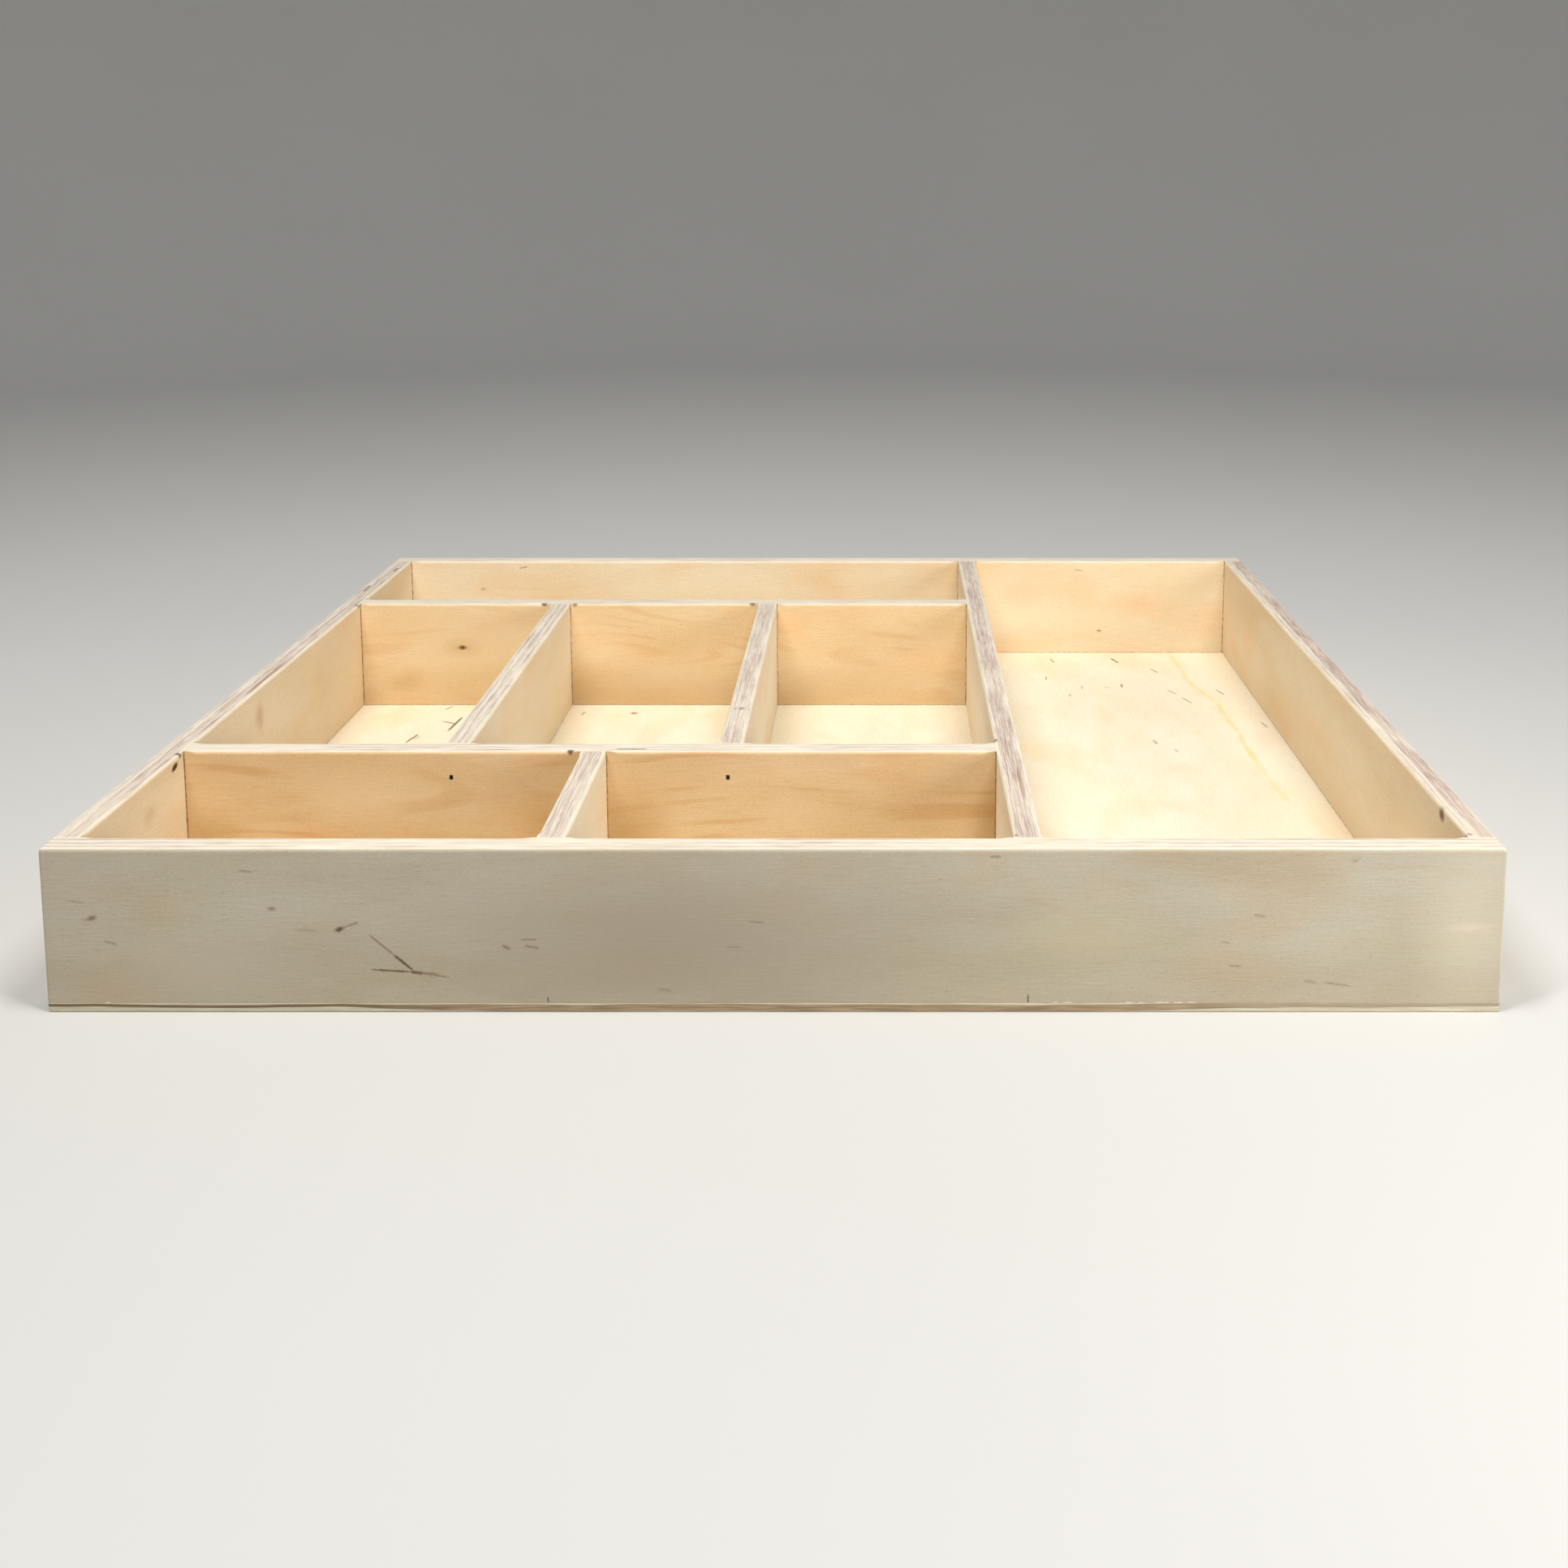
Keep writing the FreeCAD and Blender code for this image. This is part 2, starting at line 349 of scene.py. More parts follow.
def islands(mesh):
    """The corners of each separate solid in a mesh."""
    bm = bmesh.new()
    bm.from_mesh(mesh)
    bmesh.ops.remove_doubles(bm, verts=bm.verts, dist=SAME_POINT)
    reached = set()
    found = []
    for start in bm.verts:
        if start in reached:
            continue
        reached.add(start)
        queue = [start]
        points = []
        while queue:
            vertex = queue.pop()
            points.append(vertex.co.copy())
            for edge in vertex.link_edges:
                other = edge.other_vert(vertex)
                if other not in reached:
                    reached.add(other)
                    queue.append(other)
        found.append(points)
    bm.free()
    return found


def pocket_box(points, outward):
    """The box that a nail set punches above a brad's head: the head's outline, out past the surface."""
    low = Vector([min(p[i] for p in points) for i in range(3)])
    high = Vector([max(p[i] for p in points) for i in range(3)])
    for i in range(3):
        if outward[i] > 0:
            low[i] = high[i] - CUTTER_BITE
            high[i] += 2 * SET_DEPTH
        elif outward[i] < 0:
            high[i] = low[i] + CUTTER_BITE
            low[i] -= 2 * SET_DEPTH
    return low, high


def pockets(board_name):
    """The box of every nail pocket in a board."""
    boxes = []
    for node, (into, outward) in BRAD_GROUPS.items():
        if into == board_name:
            boxes += [pocket_box(points, outward) for points in islands(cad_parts[node].data)]
    return boxes


def cut_pockets(piece, boxes):
    """Cuts nail pockets into a board's mesh."""
    if not boxes:
        return
    bm = bmesh.new()
    for low, high in boxes:
        cube = bmesh.ops.create_cube(bm, size=1.0)
        for vertex in cube["verts"]:
            share = vertex.co + Vector((0.5, 0.5, 0.5))
            vertex.co = Vector([low[i] + (high[i] - low[i]) * share[i] for i in range(3)])
    cutter = new_object(piece.name + "_pockets", bm)
    boolean = piece.modifiers.new("pockets", "BOOLEAN")
    boolean.operation = "DIFFERENCE"
    boolean.solver = "EXACT"
    boolean.object = cutter
    evaluated = piece.evaluated_get(bpy.context.evaluated_depsgraph_get())
    cut = bpy.data.meshes.new_from_object(evaluated)
    cut.set_sharp_from_angle(angle=SHARP_ANGLE)
    piece.modifiers.clear()
    piece.data = cut
    bpy.data.objects.remove(cutter)


# ---------------------------- shader building


def srgb(red, green, blue):
    """A colour from its 0 to 255 screen values."""

    def linear(value):
        value /= 255
        return value / 12.92 if value <= 0.04045 else ((value + 0.055) / 1.055) ** 2.4

    return linear(red), linear(green), linear(blue), 1.0


SPECULAR = 0.25  # bare wood, wire and paper all shine little


class Shader:
    """One material's node tree. Each method but finish adds nodes and returns the last one's output."""

    def __init__(self, name):
        self.material = bpy.data.materials.new(name)
        self.material.use_nodes = True
        self.tree = self.material.node_tree
        self.tree.nodes.clear()

    def node(self, kind, inputs, output=0, **settings):
        made = self.tree.nodes.new("ShaderNode" + kind)
        for name, value in settings.items():
            setattr(made, name, value)
        for name, value in inputs.items():
            if isinstance(value, bpy.types.NodeSocket):
                self.tree.links.new(value, made.inputs[name])
            else:
                made.inputs[name].default_value = value
        return made.outputs[output]

    def math(self, operation, a, b=0.0):
        return self.node("Math", {0: a, 1: b}, operation=operation)

    def add(self, a, b):
        return self.math("ADD", a, b)

    def times(self, a, b):
        return self.math("MULTIPLY", a, b)

    def apart(self, a, b):
        """How far apart two numbers are."""
        return self.math("ABSOLUTE", self.math("SUBTRACT", a, b))

    def vector_math(self, operation, a, b=(0, 0, 0)):
        return self.node("VectorMath", {0: a, 1: b}, operation=operation)

    def scale(self, vector, amount):
        return self.node("VectorMath", {0: vector, "Scale": amount}, operation="SCALE")

    def dot(self, a, b):
        return self.node("VectorMath", {0: a, 1: b}, output="Value", operation="DOT_PRODUCT")

    def length(self, vector):
        return self.node("VectorMath", {0: vector}, output="Value", operation="LENGTH")

    def step(self, value, start, end, low=0.0, high=1.0):
        """Goes smoothly from low to high as value goes from start to end."""
        inputs = {"Value": value, "From Min": start, "From Max": end, "To Min": low, "To Max": high}
        return self.node("MapRange", inputs, interpolation_type="SMOOTHSTEP")

    def noise(self, x, y, x_waves, y_waves, z=0.0, detail=2.0, roughness=0.5):
        """Noise with this many waves a millimetre along x and y. Each z gives a pattern of its own."""
        point = self.node("CombineXYZ", {0: self.times(x, x_waves), 1: self.times(y, y_waves), 2: z})
        inputs = {"Vector": point, "Scale": 1.0, "Detail": detail, "Roughness": roughness}
        return self.node("TexNoise", inputs)

    def mix(self, factor, a, b):
        return self.node("Mix", {0: factor, 6: a, 7: b}, output=2, data_type="RGBA")

    def tint(self, colour, amount, factors):
        """Multiplies a colour by these factors where amount is 1, and not at all where it is 0."""
        return self.mix(amount, colour, self.vector_math("MULTIPLY", colour, factors))

    def mix_numbers(self, factor, a, b):
        return self.node("Mix", {0: factor, 2: a, 3: b}, data_type="FLOAT")

    def millimetres(self):
        """Where the point being shaded is in the tray's frame, in millimetres."""
        return self.scale(self.node("TexCoord", {}, output="Object"), 1 / MM)

    def part(self, vector, axis):
        return self.node("SeparateXYZ", {0: vector}, output="XYZ".index(axis))

    def facing(self, direction):
        """How squarely the surface faces along a direction, either way: 0 to 1."""
        normal = self.node("NewGeometry", {}, output="Normal")
        return self.math("ABSOLUTE", self.dot(normal, direction))

    def finish(self, colour, roughness, relief, depth, metallic=0.0):
        """Ends the tree in a surface with a bump this many metres deep."""
        inputs = {
            "Base Color": colour,
            "Roughness": roughness,
            "Normal": self.node("Bump", {"Height": relief, "Strength": 1.0, "Distance": depth}),
            "Specular IOR Level": SPECULAR,
            "Metallic": metallic,
        }
        output = self.tree.nodes.new("ShaderNodeOutputMaterial")
        self.tree.links.new(self.node("BsdfPrincipled", inputs), output.inputs["Surface"])
        return self.material


# ---------------------------- marks on the wood, and painted light and shade

KNOT_CORE = srgb(84, 54, 38)
KNOT_SMALL = srgb(118, 88, 68)
VEE_BROWN = srgb(92, 62, 50)
KNOT_HALO = srgb(178, 134, 92)
STREAK_BROWN = srgb(108, 72, 46)
BURN_BROWN = srgb(46, 28, 22)
POCKET_BROWN = srgb(66, 42, 20)
PENCIL_GREY = srgb(78, 80, 84)
RUST = srgb(150, 98, 70)
JOINT_SHADE_BROWN = srgb(106, 74, 44)
# the painted shade in the thin gaps of inside corners
TORN_WHITE = srgb(246, 240, 224)
STAIN_YELLOW = srgb(226, 208, 120)
FINE_WANDER = 0.35  # how far the outline of a fine mark wanders, in mm
BROAD_WANDER = 1.6
WANDER_WAVES = 0.55  # how many waves an outline's wander makes over a length equal to its reach
ROD_GIRTH = 0.85  # a rod's half width, as a share of its mark's width: its edge fades, so it looks thinner
FAR_OFF = 1000.0  # further than any mark or corner is, in mm


class Lobe:
    """Part of a mark: an egg shape or a blunt rod, with its middle, half sizes and long axis in mm."""

    def __init__(self, middle, sizes, long_axis=(1, 0, 0), blunt=False):
        self.middle = middle
        self.sizes = sizes
        self.turn = Vector(long_axis).to_track_quat("X", "Z").to_euler()
        self.blunt = blunt

    def distance(self, shader, position):
        """0 in the lobe's middle and 1 at its outline."""
        inputs = {"Vector": position, "Location": self.middle, "Rotation": self.turn, "Scale": self.sizes}
        local = shader.node("Mapping", inputs, vector_type="TEXTURE")
        if self.blunt:
            squared = shader.vector_math("MULTIPLY", local, local)
            local = shader.vector_math("MULTIPLY", local, shader.vector_math("MAXIMUM", squared, (0, 1, 1)))
        return shader.length(local)


class Mark:
    """A patch of colour in the shape of its lobes together, fading in over the soft share of their size. Most
    are stains; some are painted light and shade.
    """

    def __init__(self, lobes, colour, strength, soft=0.8, wander=FINE_WANDER):
        self.lobes = lobes
        self.colour = colour
        self.strength = strength
        self.soft = soft
        self.wander = wander


def spot(middle, sizes, colour, strength, long_axis=(1, 0, 0), soft=0.8):
    """A small egg-shaped mark."""
    return Mark([Lobe(middle, sizes, long_axis)], colour, strength, soft)


def smudge(middle, sizes, colour, strength=0.4):
    """A wide soft patch of colour, used for stains and for painted light and shade."""
    return Mark([Lobe(middle, sizes)], colour, strength, soft=1.0, wander=BROAD_WANDER)


def rod(start, end, width):
    """A lobe from one point to another, as one stroke of a pen this wide."""
    start, end = Vector(start), Vector(end)
    run = end - start
    girth = ROD_GIRTH * width
    return Lobe((start + end) / 2, ((run.length + width) / 2, girth, girth), run, blunt=True)


def streak(start, end, width=0.6, colour=STREAK_BROWN, strength=0.75):
    """A thin mineral streak from one point to another, about this wide."""
    return Mark([rod(start, end, width)], colour, strength)


def burn(x, y, length=2.2, depth=1.2, strength=0.85):
    """A scorch on a top edge, where the router bit stood still."""
    return spot((x, y, TOP_Z - 0.4), (length, depth, 1.6), BURN_BROWN, strength, soft=0.6)


def floor_stain(points, width, colour, strength):
    """A wavering stain along a run of points on the floor."""
    rods = [rod((*start, FLOOR_Z), (*end, FLOOR_Z), width) for start, end in zip(points, points[1:])]
    return Mark(rods, colour, strength, soft=0.9, wander=BROAD_WANDER)


def add_marks(shader, position, colour, marks):
    """Lays marks on a colour, with outlines that wander."""
    wandering = {}
    for wander in {mark.wander for mark in marks}:
        grain = shader.node("TexNoise", {"Vector": position, "Scale": WANDER_WAVES / wander}, output="Color")
        shift = shader.scale(shader.vector_math("SUBTRACT", grain, (0.5, 0.5, 0.5)), 2 * wander)
        wandering[wander] = shader.vector_math("ADD", position, shift)
    for mark in marks:
        distance = FAR_OFF
        for lobe in mark.lobes:
            distance = shader.math("MINIMUM", lobe.distance(shader, wandering[mark.wander]), distance)
        inside = shader.step(distance, 1.0, 1.0 - mark.soft, 0.0, mark.strength)
        colour = shader.mix(inside, colour, mark.colour)
    return colour


# ---------------------------- plywood


class Look:
    """What sets one board's wood apart: its veneer's tones and its plies."""

    def __init__(self, seed, pale, deep, figure=0.15, core=0.6, heart=0.0, heart_at=4.7):
        self.seed = seed
        self.pale = pale  # the veneer's lighter tone
        self.deep = deep  # its darker tone
        self.figure = figure  # how strongly the growth lines show
        self.core = core  # how dark the cross plies are
        self.heart = heart  # how brown a band along the top edge is
        self.heart_at = heart_at  # and its t


# What each of these multiplies the veneer's colour by
PEACH_TINT = (1.01, 0.935, 0.87)
OLIVE_TINT = (0.98, 0.975, 0.92)
RING_TINT = (0.84, 0.66, 0.48)
PORE_TINT = (0.84, 0.76, 0.67)
FOOT_SHADE_TINT = (0.94, 0.915, 0.88)  # the painted shade that darkens a board towards its foot

FOOT_SHADE_HEIGHT = 24.0  # how far up that painted shade reaches, in mm
FACE_SHIFT = 31.0  # keeps the pattern of a board's far face apart from its near one's
RING_ANGLE = 70.0  # the drift's whole range as an angle: each full turn of it is a growth line
GRAIN_DEPTH = 0.05 * MM  # how deep the grain's relief is


def veneer(shader, s, h, layer, look):
    """A rotary-cut birch face: drifting tone, faint growth lines, fine fibres and short dark pores.

    s runs along the grain and h across it. layer keeps the two faces of a board apart.
    Returns the colour and the fibres' relief.
    """

    def noise(along, across, offset=0.0, detail=2.0, roughness=0.5):
        return shader.noise(s, h, along, across, shader.add(layer, offset), detail, roughness)

    # The tone drifts between the look's two, under peach and olive patches
    colour = shader.mix(shader.step(noise(0.012, 0.04), 0.3, 0.7), look.pale, look.deep)
    colour = shader.tint(colour, shader.step(noise(0.02, 0.035, 9.0), 0.48, 0.7), PEACH_TINT)
    colour = shader.tint(colour, shader.step(noise(0.016, 0.03, 15.0), 0.5, 0.72), OLIVE_TINT)

    # Growth lines are contours of a slow drift, and show only in places
    rings = shader.math("SINE", shader.times(noise(0.006, 0.03, 4.0, 1.0), RING_ANGLE))
    where = shader.step(noise(0.02, 0.05, 7.0), 0.45, 0.62, 0.0, look.figure)
    colour = shader.tint(colour, shader.times(shader.step(rings, 0.1, 1.0), where), RING_TINT)

    # Fibres, pores and grit
    fibre = noise(0.10, 1.9, 0.0, 3.0, 0.6)
    colour = shader.scale(colour, shader.step(fibre, 0.25, 0.75, 0.95, 1.04))
    pores = shader.step(noise(0.40, 3.2, 2.0, 1.0), 0.62, 0.78)
    colour = shader.tint(colour, pores, PORE_TINT)
    grit = noise(0.9, 1.7, 6.0, 2.0)
    colour = shader.scale(colour, shader.step(grit, 0.25, 0.75, 0.955, 1.04))
    return colour, fibre


# Where one ply gives way to the next through a board, and where the panel's core is, in mm
BOARD_PLIES = (1.1, 2.4, 3.75, 5.25, 6.6, 7.9)
PANEL_CORE_FOOT = 0.3
PANEL_SANDED_FOOT = 1.7  # where the panel's edges are sanded at a slant
PANEL_CORE_TOP = (2.75, 2.45)
SANDED_LEFT = (-80.0, -140.0)  # the x over which that slant grows, towards either end
SANDED_RIGHT = (100.0, 170.0)
PANEL_MIDDLE = 1.5
BOARD_MM = THICKNESS / MM
PLY_BLUR = 0.25  # how softly one ply gives way to the next, in mm

# The darker and the lighter tone of each kind of ply where it is cut through
LONG_PLY = (srgb(213, 201, 180), srgb(234, 226, 207))
CROSS_PLY = (srgb(172, 151, 140), srgb(226, 214, 202))
HEART_PLY = (srgb(160, 136, 122), srgb(222, 206, 193))
PANEL_FACE_PLY = (srgb(198, 190, 162), srgb(222, 216, 192))
PANEL_CORE_PLY = (srgb(146, 126, 96), srgb(182, 160, 130))
SANDED_CORE = srgb(108, 84, 64)
GLUED_CORE = srgb(172, 162, 146)


def cross_plies(shader, through):
    """1 in every second ply, the ones that run across the board, and 0 in the others."""
    made = shader.tree.nodes.new("ShaderNodeValToRGB")
    ramp = made.color_ramp
    ramp.elements[0].position = 0.0
    ramp.elements[0].color = (0, 0, 0, 1)
    ramp.elements[1].position = 1.0
    ramp.elements[1].color = (0, 0, 0, 1)
    for i, line in enumerate(BOARD_PLIES):
        for side in (0, 1):
            tone = (i + side) % 2
            ramp.elements.new((line + (side - 0.5) * PLY_BLUR) / BOARD_MM).color = (tone, tone, tone, 1)
    shader.tree.links.new(shader.times(through, 1 / BOARD_MM), made.inputs[0])
    return made.outputs[0]


def ply_edges(shader, s, h, t, at_end, look):
    """The sawn and sanded edges of a board's plies.

    Long-grain plies are cream and cross plies mauve; at the board's ends it is the other way round.
    Returns the colour and the streaks' relief.
    """
    # The plies waver a little
    drift = shader.noise(s, h, 0.02, 0.02, look.seed)
    waved = shader.add(t, shader.step(drift, 0.2, 0.8, -0.25, 0.25))
    cross = shader.apart(cross_plies(shader, waved), at_end)

    # Each ply is streaked along itself
    coarse = shader.noise(s, h, 0.04, 0.04, shader.times(waved, 1.7), 3.0, 0.62)
    fine = shader.noise(s, h, 0.12, 0.12, shader.times(waved, 5.5))
    streaks = shader.add(shader.times(coarse, 0.6), shader.times(fine, 0.4))
    pale = shader.mix(shader.step(streaks, 0.38, 0.6), *LONG_PLY)
    mauve = shader.mix(shader.step(streaks, 0.38, 0.62), *CROSS_PLY)

    # The cross plies are darker in some stretches than in others
    patch = shader.noise(s, h, 0.015, 0.015, look.seed + 3.0)
    depth = shader.step(patch, 0.35, 0.65, max(0.0, look.core - 0.3), min(1.0, look.core + 0.3))
    colour = shader.mix(shader.times(cross, depth), pale, mauve)

    # A band of the top edge is browner where its heart lies
    from_middle = shader.apart(waved, look.heart_at)
    heart = shader.times(shader.step(from_middle, 3.1, 1.9), shader.step(patch, 0.3, 0.55, 0.4, 1.0))
    brown = shader.mix(shader.step(streaks, 0.36, 0.66), *HEART_PLY)
    return shader.mix(shader.times(heart, look.heart), colour, brown), streaks


def corner_distance(shader, s, h, far_face, board):
    """How far the nearest inside corner is, in mm: at the board's foot, or beside a board that meets it."""
    nearest = []
    for t in (0.0, THICKNESS):
        distance = FAR_OFF if t == board.outside else h
        corners = {end for span in open_spans(board, t) for end in span} if t != board.outside else ()
        for corner in corners:
            distance = shader.math("MINIMUM", shader.apart(s, corner / MM), distance)
        nearest.append(distance)
    return shader.mix_numbers(far_face, *nearest)


def joint_gap_shade(shader, s, h, far_face, board):
    """Where painted shade darkens the thin gaps in the corners that a board makes with its neighbours and the
    floor, 0 to 1.
    """
    distance = corner_distance(shader, s, h, far_face, board)
    broken = shader.noise(s, h, 0.35, 0.35, 40.0, 3.0, 0.7)
    reach = shader.step(broken, 0.25, 0.75, 0.25, 0.7)
    near = shader.step(shader.math("DIVIDE", distance, reach), 1.0, 0.4)
    return shader.times(near, shader.step(broken, 0.3, 0.62, 0.25, 0.7))


POCKET_RIM = 1.2  # how many times as wide as its pocket a nail's mark is
POCKET_REACH = 0.85  # and the least that it reaches, in mm


def nail_marks(boxes):
    """The dark rims that the nail set leaves round its pockets."""
    marks = []
    for low, high in boxes:
        middle = (low + high) / 2 / MM
        sizes = [max(POCKET_RIM * side / 2 / MM, POCKET_REACH) for side in high - low]
        marks.append(spot(middle, sizes, POCKET_BROWN, 0.9, soft=0.35))
    return marks


def plywood(board, look, marks):
    """The material of one board: veneer on its faces and plies on its edges."""
    shader = Shader(board.name + "_plywood")
    position = shader.millimetres()
    local = shader.vector_math("SUBTRACT", position, board.origin / MM)
    s = shader.dot(local, board.along)
    t = shader.dot(local, board.through)
    h = shader.part(local, "Z")
    far_face = shader.math("GREATER_THAN", t, BOARD_MM / 2)
    layer = shader.add(look.seed, shader.times(far_face, FACE_SHIFT))
    face, fibre = veneer(shader, s, h, layer, look)
    # Painted shade darkens the veneer towards the board's foot
    face = shader.tint(face, shader.step(h, FOOT_SHADE_HEIGHT, 0.0), FOOT_SHADE_TINT)
    # Painted shade darkens the thin gaps along its inside corners
    face = shader.mix(joint_gap_shade(shader, s, h, far_face, board), face, JOINT_SHADE_BROWN)

    at_end = shader.step(shader.facing(board.along), 0.6, 0.8)
    edge, streaks = ply_edges(shader, s, h, t, at_end, look)
    on_edge = shader.step(shader.facing(board.through), 0.93, 0.55)
    colour = add_marks(shader, position, shader.mix(on_edge, face, edge), marks)
    roughness = shader.step(streaks, 0.2, 0.8, 0.62, 0.78)
    relief = shader.mix_numbers(on_edge, fibre, streaks)
    return shader.finish(colour, roughness, relief, GRAIN_DEPTH)


def panel_plywood(look, marks):
    """The bottom panel's material: pale veneer with its grain front to back, and a brown core at its edges.

    The panel's front edge is sanded at a slant, so the core shows thinner towards both ends. At the left end
    it is dark. At the right end it is grey with glue and reaches up to the board.
    """
    shader = Shader("bottom_panel_plywood")
    position = shader.millimetres()
    x, y, z = (shader.part(position, axis) for axis in "XYZ")
    upper_face = shader.math("GREATER_THAN", z, PANEL_MIDDLE)
    layer = shader.add(look.seed, shader.times(upper_face, FACE_SHIFT))
    face, fibre = veneer(shader, y, x, layer, look)

    drift = shader.noise(x, y, 0.02, 0.02, look.seed)
    waved = shader.add(z, shader.step(drift, 0.25, 0.75, -0.35, 0.35))
    at_left = shader.step(x, *SANDED_LEFT)
    at_right = shader.step(x, *SANDED_RIGHT)
    core_foot = shader.mix_numbers(shader.add(at_left, at_right), PANEL_CORE_FOOT, PANEL_SANDED_FOOT)
    above_foot = shader.step(shader.math("SUBTRACT", waved, core_foot), -0.2, 0.2)
    below_top = shader.step(shader.math("SUBTRACT", waved, at_right), *PANEL_CORE_TOP)
    core = shader.times(above_foot, below_top)
    grain = shader.noise(x, y, 0.07, 0.07, shader.times(z, 2.2), 3.0)
    light = shader.step(grain, 0.35, 0.65)
    pale = shader.mix(light, *PANEL_FACE_PLY)
    brown = shader.mix(light, *PANEL_CORE_PLY)
    brown = shader.mix(shader.times(at_left, 0.7), brown, SANDED_CORE)
    brown = shader.mix(shader.times(at_right, 0.6), brown, GLUED_CORE)
    edge = shader.mix(core, pale, brown)

    on_edge = shader.step(shader.facing(UP), 0.8, 0.4)
    colour = add_marks(shader, position, shader.mix(on_edge, face, edge), marks)
    roughness = shader.step(grain, 0.2, 0.8, 0.6, 0.75)
    relief = shader.mix_numbers(on_edge, fibre, grain)
    return shader.finish(colour, roughness, relief, GRAIN_DEPTH)


def brad_steel():
    """Dull coated wire, with dark smears left by the nail set."""
    shader = Shader("brad_steel")
    position = shader.millimetres()
    smear = shader.node("TexNoise", {"Vector": position, "Scale": 1.8, "Detail": 3.0})
    colour = shader.mix(shader.step(smear, 0.35, 0.65), srgb(34, 28, 24), srgb(92, 84, 76))
    roughness = shader.step(smear, 0.2, 0.8, 0.45, 0.7)
    return shader.finish(colour, roughness, smear, 0.02 * MM, metallic=0.7)


# ---------------------------- each board's wood

# The faces that carry marks, in mm
FLOOR_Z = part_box("bottom_panel")[1].z / MM
TOP_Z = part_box("front_board")[1].z / MM
FRONT_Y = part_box("front_board")[0].y / MM
BACK_INNER_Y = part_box("back_board")[0].y / MM
FRONT_CROSS_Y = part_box("front_cross_divider")[0].y / MM
REAR_CROSS_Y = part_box("rear_cross_divider")[0].y / MM
LEFT_INNER_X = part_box("left_side_board")[1].x / MM
RIGHT_INNER_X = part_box("right_side_board")[0].x / MM

# The lighter and the darker tone of each kind of veneer
TAN_PALE = srgb(238, 208, 165)
TAN_DEEP = srgb(230, 196, 149)
HONEY_PALE = srgb(243, 219, 180)
HONEY_DEEP = srgb(236, 206, 160)
PEACH_PALE = srgb(245, 229, 199)
PEACH_DEEP = srgb(241, 221, 187)
CREAM_PALE = srgb(241, 223, 194)
CREAM_DEEP = srgb(236, 214, 181)
IVORY_PALE = srgb(246, 237, 217)
IVORY_DEEP = srgb(244, 231, 207)
# The front board's birch, painted darker and greyer as shade
SHADED_GREY_PALE = srgb(196, 188, 169)
SHADED_GREY_DEEP = srgb(188, 178, 157)

LOOKS = {
    "front_board": Look(11.0, SHADED_GREY_PALE, SHADED_GREY_DEEP, figure=0.1, core=0.5),
    "back_board": Look(23.0, PEACH_PALE, PEACH_DEEP, figure=0.1, core=0.3),
    "left_side_board": Look(37.0, CREAM_PALE, CREAM_DEEP, figure=0.06, core=0.55, heart=0.5, heart_at=3.6),
    "right_side_board": Look(41.0, CREAM_PALE, CREAM_DEEP, figure=0.06, core=0.6, heart=1.0, heart_at=3.3),
    "long_divider": Look(53.0, IVORY_PALE, IVORY_DEEP, figure=0.06, core=0.8, heart=0.8),
    "front_cross_divider": Look(61.0, TAN_PALE, TAN_DEEP, figure=0.5, core=0.45),
    "rear_cross_divider": Look(79.0, HONEY_PALE, HONEY_DEEP, figure=0.32, core=0.45),
    "front_short_divider": Look(83.0, IVORY_PALE, IVORY_DEEP, figure=0.06, core=0.5, heart=0.5),
    "middle_left_divider": Look(97.0, IVORY_DEEP, CREAM_PALE, figure=0.06, core=0.75, heart=0.2),
    "middle_right_divider": Look(103.0, IVORY_PALE, IVORY_DEEP, figure=0.06, core=0.7, heart=0.6),
    "bottom_panel": Look(127.0, srgb(242, 233, 211), srgb(239, 228, 202), figure=0.05),
}


def front_streak(start_x, start_z, end_x, end_z, width=0.6, strength=0.5, colour=STREAK_BROWN):
    """A streak on the front board's outer face."""
    return streak((start_x, FRONT_Y, start_z), (end_x, FRONT_Y, end_z), width, colour, strength)


def floor_streak(start_x, start_y, end_x, end_y, width=0.9, strength=0.8, colour=STREAK_BROWN):
    """A streak on the floor of a compartment."""
    return streak((start_x, start_y, FLOOR_Z), (end_x, end_y, FLOOR_Z), width, colour, strength)


# Torn fibres under the front board: where each starts, and how long it is
TORN_DASHES = (
    (-207.0, 1.5),
    (86.4, 1.5),
    (89.6, 3.0),
    (109.0, 2.0),
    (113.0, 1.5),
    (118.0, 4.5),
    (124.0, 2.5),
    (128.0, 2.5),
)


